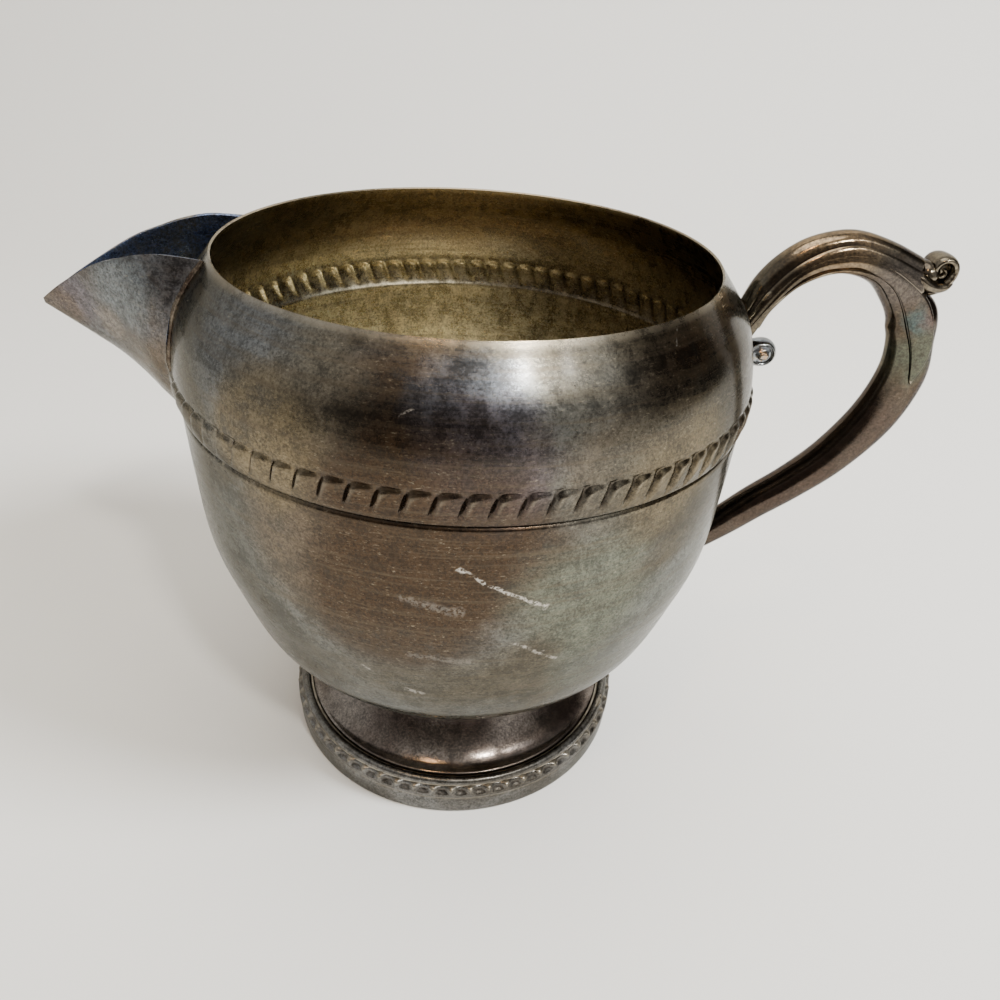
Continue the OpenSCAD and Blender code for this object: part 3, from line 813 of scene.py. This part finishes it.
def mouldingPoint(u, v):  # half-round, groove, second half-round, bright edge, then the hidden underside
    top, groove = along(armTop, v), along(armGroove, v)
    edge, inner = along(armEdge[:9], v), along(armInner[:9], v)
    deep = edge + (inner - edge) * 0.5
    side = 1 if u < 0.5 else -1
    w = 1 - abs(2 * u - 1)  # 0 at the underside, 1 on top of the arm
    topStart, grooveStart = handle["topStart"], handle["grooveStart"]
    secondStart, edgeStart = handle["secondStart"], handle["edgeStart"]
    if w > topStart:
        turn = (w - topStart) / (1 - topStart) * math.pi / 2
        point, out = groove + (top - groove) * math.sin(turn), 2.6 * math.cos(turn)
    elif w > grooveStart:
        point, out = groove + (inner - groove) * 0.12, 2.75
    elif w > secondStart:
        turn = (w - secondStart) / (grooveStart - secondStart) * math.pi / 2
        point, out = edge + (groove - edge) * math.sin(turn), 2.8 + 0.95 * math.cos(turn)
    elif w > edgeStart:
        point, out = edge + (inner - edge) * 0.06, 3.78
    else:
        point, out = deep, 3.4 * w / edgeStart
    return Vector((point.x, side * out, point.z)) * mm


armMoulding = layGrid("armMoulding", 50, 96, mouldingPoint)
cleanMesh(armMoulding, 0.000005)
fillOpenRings(armMoulding)


def platePoint(u, v):  # the flat crescent with soft edges, u runs round its section
    edge, inner = along(armEdge, v), along(armInner, v)
    turn = u * fullTurn
    across = 0.5 + 0.5 * math.copysign(abs(math.cos(turn)) ** 0.25, math.cos(turn))
    out = math.copysign(abs(math.sin(turn)) ** 0.25, math.sin(turn)) * halfWidth
    point = edge + (inner - edge) * across
    return Vector((point.x, out, point.z)) * mm


armPlate = layGrid("armPlate", 40, 96, platePoint)
cleanMesh(armPlate, 0.000005)
fillOpenRings(armPlate)
handleArm = joinPieces([armMoulding, armPlate], "handleArm")
smoothShade(handleArm, 40)
finishPiece(handleArm, silverOnHandle, "handle_plate", "handle_arm")

legLine = [Vector(p) for p in [  # middle line x, z with half thickness in the plane
    (48.7, 88.6, 0.7), (50.2, 92.2, 0.9), (54.1, 96.5, 0.9), (60, 98.9, 1.0), (66.4, 98, 1.5),
    (71.2, 94.9, 2.5), (75.2, 91.3, 4.2), (76.8, 86.2, 4.0), (77.3, 80, 4.3), (74.9, 71.8, 4.2),
    (69.5, 63.4, 3.7), (63.6, 57.3, 3.4), (57.4, 52.1, 3.3), (52.3, 47.5, 3.1), (47.6, 43.6, 2.8),
    (41.3, 38.8, 2.7)]]
legAcross = [Vector((w, 0, 0)) for w in (  # half width at each station
    2.6, 2.6, 2.7, 2.8, 2.9, 3, 3, 3.1, 3.3, 3.5, 3.6, 3.4, 3.2, 3, 2.9, 2.8)]


def legPoint(u, v):
    here = along(legLine, v)
    ahead, behind = along(legLine, v + 0.008), along(legLine, v - 0.008)
    run = Vector((ahead.x - behind.x, 0, ahead.y - behind.y)).normalized()
    side = Vector((run.z, 0, -run.x))
    turn = u * fullTurn
    point = Vector((here.x, 0, here.y)) + side * (here.z * math.cos(turn))
    return Vector((point.x, along(legAcross, v).x * math.sin(turn), point.z)) * mm


handleLeg = layGrid("handleLeg", 48, 150, legPoint)
cleanMesh(handleLeg, 0.000005)
fillOpenRings(handleLeg)
smoothShade(handleLeg, 60)
finishPiece(handleLeg, silverOnHandle, "handle_plate", "handle_leg")


def thumbPoint(u, v):  # a rounded moulding that sweeps under and rolls up into an eye
    turn = math.radians(-155) + math.radians(620) * v
    outer = 2.7 + 0.9 * ease(1 - v / 0.16) - 2.1 * ease((v - 0.3) / 0.7)
    thick = 1.15 - 0.72 * v ** 0.8
    size = outer - thick
    wide = (3.1 - 1.2 * v) * ease((v + 0.08) / 0.12)
    drop = 1.4 * ease(1 - v / 0.3) + 0.3
    around = u * fullTurn
    radius = size + thick * math.cos(around)
    centre = Vector((handle["thumb"][0] - 0.4 - 0.15 * drop, 0, rimHeight + handle["thumb"][1] - drop))
    bulge = math.copysign(abs(math.sin(around)) ** 0.8, math.sin(around))
    return (centre + Vector((radius * math.cos(turn), wide * bulge, radius * math.sin(turn)))) * mm


def roundKnuckle(name, centre, across, wide):
    bpy.ops.mesh.primitive_uv_sphere_add(segments=40, ring_count=24, radius=1, location=(0, 0, 0))
    piece = named(bpy.context.object, name)
    for vertex in piece.data.vertices:
        x, y, z = vertex.co
        vertex.co = Vector((centre[0] + across * x, wide * y, rimHeight + centre[1] + across * z)) * mm
    return piece


thumbRoll = layGrid("thumbRoll", 32, 140, thumbPoint)
cleanMesh(thumbRoll, 0.000005)
fillOpenRings(thumbRoll)
thumbX, thumbZ = handle["thumb"]
thumbKnuckle = roundKnuckle("thumbKnuckle", (thumbX - 2.5, thumbZ - 1.3), 2.3, 2.9)
thumbHeart = roundKnuckle("thumbHeart", (thumbX - 0.5, thumbZ - 0.4), 2.1, 1.6)
cupLine = [Vector(p) for p in [  # offsets x, z with half thickness
    (-5.8, -0.7, 1.2), (-4.2, -1.6, 1.5), (-2.6, -2.5, 1.6),
    (-1.0, -2.8, 1.45), (0.4, -2.6, 1.1), (1.3, -2.0, 0.5)]]
cupAcross = [Vector((w, 0, 0)) for w in (3.2, 3.8, 3.95, 3.6, 3.3, 2.8)]


def cupPoint(u, v):  # the moulding of the arm flows under the roll as a rounded cup
    here = along(cupLine, v)
    run = along(cupLine, v + 0.01) - along(cupLine, v - 0.01)
    run = Vector((run.x, 0, run.y)).normalized()
    turn = u * fullTurn
    point = Vector((thumbX + here.x, 0, rimHeight + thumbZ + here.y))
    point += Vector((run.z, 0, -run.x)) * here.z * math.cos(turn)
    return Vector((point.x, along(cupAcross, v).x * math.sin(turn), point.z)) * mm


thumbCup = layGrid("thumbCup", 32, 50, cupPoint)
cleanMesh(thumbCup, 0.000005)
fillOpenRings(thumbCup)
thumbScroll = joinPieces([thumbRoll, thumbKnuckle, thumbHeart, thumbCup], "thumbScroll")
smoothShade(thumbScroll, 60)
finishPiece(thumbScroll, silverOnScroll, "scroll_plate", "thumb_scroll")


def curlPoint(u, v):  # a rounded knob on a short neck, with a dished side and a small eye
    turn = (v - 0.5) * math.pi
    around = u * fullTurn
    radius = handle["curlRadius"] * math.cos(turn) ** 0.9 if abs(turn) < 1.57 else 0
    out = handle["curlRadius"] * math.sin(turn)
    share = radius / handle["curlRadius"]
    dish = 0.7 * ease((0.78 - share) / 0.2) - 0.75 * ease((0.36 - share) / 0.2)
    out -= math.copysign(dish, out) if share < 0.8 else 0
    x = handle["curl"][0] + radius * math.cos(around) * (1.0 if math.cos(around) > 0 else 1.5)
    return Vector((x, out, rimHeight + handle["curl"][1] + radius * math.sin(around))) * mm


innerScroll = layGrid("innerScroll", 48, 48, curlPoint)
cleanMesh(innerScroll, 0.000004)
smoothShade(innerScroll, 50)
finishPiece(innerScroll, silverOnCurl, "scroll_plate", "inner_scroll")


def solderRing(name, centre, direction, wide, tall, thick):  # solder round the root of a limb, on the wall
    across = Vector((0, 1, 0))
    up = direction.cross(across).normalized()

    steps = 48

    def onWall(offsetY, offsetUp):
        start = centre + across * offsetY + up * offsetUp
        for i in range(60):  # slides along the limb until it meets the wall
            gap = math.hypot(start.x, start.y) - bodyRadius(start.z)
            start = start - direction * gap * 0.6
        return start
    path = []
    for i in range(steps + 1):
        turn = fullTurn * i / steps
        path.append(onWall(wide * math.cos(turn), tall * math.sin(turn)))

    def ringPoint(u, v):
        i = min(round(v * steps), steps)
        run = (path[(i + 1) % steps] - path[(i - 1) % steps]).normalized()
        out = Vector((path[i].x, path[i].y, 0)).normalized()
        aside = run.cross(out).normalized()
        turn = u * fullTurn
        size = thick * (1 + 0.12 * math.sin(v * fullTurn * 5))
        return (path[i] + size * (aside * math.cos(turn) + out * math.sin(turn))) * mm
    piece = layGrid(name, 10, steps, ringPoint)
    cleanMesh(piece, 0.00001)
    return piece


armRoot, armRun = Vector((47, 0, 90.2)), Vector((0.5, 0, 0.86)).normalized()
upperSolder = solderRing("upperSolder", armRoot, armRun, 3.4, 2.3, 0.5)
smoothShade(upperSolder, 60)
finishPiece(upperSolder, solderGrey, "solder", "handle_upper_solder")
legRoot, legRun = Vector((47.6, 0, 43.6)), Vector((0.795, 0, 0.606))
lowerSolder = solderRing("lowerSolder", legRoot, legRun, 3.0, 2.9, 0.4)
smoothShade(lowerSolder, 60)
finishPiece(lowerSolder, solderGrey, "solder", "handle_lower_solder")


# Stage, light and camera

stage = {
    "floorColour": (0.69, 0.675, 0.64), "backAt": 0.55, "backCurve": 0.25, "backTop": 0.9,
    "wall": (0.75, 0.74, 0.71), "ceiling": (0.70, 0.69, 0.66), "viewerSide": (0.17, 0.15, 0.135),
    "darkSide": (0.10, 0.09, 0.08), "worldStrength": 1.0,
    "camera": (0, -126.5, 134.6), "pitch": 33.66, "yaw": 3.36, "roll": 3.96, "lens": 28.0}


def makeFloor():  # a pale sheet that sweeps up behind the jug
    curve = stage["backCurve"]
    outline = [(-1.4, 0.0), (stage["backAt"] - curve, 0.0)]
    for i in range(1, 13):
        turn = math.pi / 2 * i / 12
        outline.append((stage["backAt"] - curve + curve * math.sin(turn), curve - curve * math.cos(turn)))
    outline.append((stage["backAt"], stage["backTop"]))
    floor = drawOutline("floor", outline)
    startEditing(floor, "SELECT")
    bpy.ops.transform.rotate(value=-math.pi / 2, orient_axis="Z", center_override=(0, 0, 0))
    bpy.ops.transform.translate(value=(-1.3, 0, 0))
    bpy.ops.mesh.extrude_region_move(TRANSFORM_OT_translate={"value": (2.6, 0, 0)})
    bpy.ops.mesh.normals_make_consistent(inside=False)
    stopEditing()
    makeActive(floor)
    bpy.ops.object.shade_smooth()
    material = bpy.data.materials.new("paleFloor")
    material.use_nodes = True
    shader = material.node_tree.nodes["Principled BSDF"]
    shader.inputs["Base Color"].default_value = (*stage["floorColour"], 1)
    shader.inputs["Roughness"].default_value = 0.9
    floor.data.materials.append(material)


def addSoftLight(name, place, target, size, power, colour=(1, 1, 1), mirrored=True):
    bpy.ops.object.light_add(type="AREA", location=place)
    light = bpy.context.object
    light.name = name
    light.data.shape = "DISK"
    light.data.size = size
    light.data.energy = power
    light.data.color = colour
    light.rotation_euler = (Vector(target) - Vector(place)).to_track_quat("-Z", "Y").to_euler()
    light.visible_glossy = mirrored
    return light


def fromJug(azimuth, elevation, distance):
    turn, lift = math.radians(azimuth), math.radians(elevation)
    flat = distance * math.cos(lift)
    return (flat * math.cos(turn), flat * math.sin(turn), 0.08 + distance * math.sin(lift))


def makeWorld():
    world = bpy.data.worlds.new("softRoom")
    bpy.context.scene.world = world
    world.use_nodes = True
    tree = world.node_tree
    background = tree.nodes["Background"]
    background.inputs["Strength"].default_value = stage["worldStrength"]
    direction = addNode(tree, "ShaderNodeTexCoord").outputs["Generated"]

    def toward(azimuth, elevation, outer, inner):
        aim = Vector(fromJug(azimuth, elevation, 1)) - Vector((0, 0, 0.08))
        facing = addNode(tree, "ShaderNodeVectorMath", operation="DOT_PRODUCT")
        tree.links.new(direction, facing.inputs[0])
        facing.inputs[1].default_value = aim
        edge, core = math.cos(math.radians(outer)), math.cos(math.radians(inner))
        return spread(tree, facing.outputs["Value"], edge, core)
    colour = mixColour(tree, toward(0, 90, 60, 20), stage["wall"], stage["ceiling"])
    colour = mixColour(tree, toward(-105, -5, 62, 28), colour, stage["viewerSide"])
    colour = mixColour(tree, toward(12, 12, 46, 24), colour, stage["darkSide"])
    tree.links.new(colour, background.inputs["Color"])


def makeCamera():
    pitch, yaw, roll = (math.radians(stage[k]) for k in ("pitch", "yaw", "roll"))
    forward = Vector((math.sin(yaw) * math.cos(pitch), math.cos(yaw) * math.cos(pitch), -math.sin(pitch)))
    right = Vector((math.cos(yaw), -math.sin(yaw), 0))
    up = right.cross(forward)
    rolledRight = right * math.cos(roll) + up * math.sin(roll)
    rolledUp = up * math.cos(roll) - right * math.sin(roll)
    bpy.ops.object.camera_add()
    camera = bpy.context.object
    turn = Matrix((rolledRight, rolledUp, -forward)).transposed().to_4x4()
    camera.matrix_world = Matrix.Translation(Vector(stage["camera"]) * mm) @ turn
    camera.data.lens = stage["lens"]
    camera.data.sensor_width = 36
    camera.data.clip_start = 0.01
    bpy.context.scene.camera = camera


makeFloor()
makeWorld()
addSoftLight("overhead", (-0.1, 0.05, 0.95), (0, 0.05, 0), 0.7, 4.2, (1.0, 0.96, 0.88))
addSoftLight("keySoft", fromJug(-18, 40, 1.1), (0, 0, 0.03), 0.34, 24.0, (0.96, 0.98, 1.0), False)
addSoftLight("lampLeft", fromJug(-62, 48, 0.8), (0, 0, 0.08), 0.07, 3.4, (1.0, 0.97, 0.90))
addSoftLight("lampRight", fromJug(-42, 45, 0.8), (0, 0, 0.08), 0.06, 0.4, (1.0, 0.97, 0.90))
addSoftLight("wideLamp", fromJug(-30, 42, 0.8), (0, 0, 0.08), 0.2, 0.22, (0.97, 1.0, 1.0))
addSoftLight("warmLamp", fromJug(-112, 62, 0.8), (0, 0, 0.08), 0.06, 0.8, (1.0, 0.62, 0.30))
makeCamera()
print("stage set")
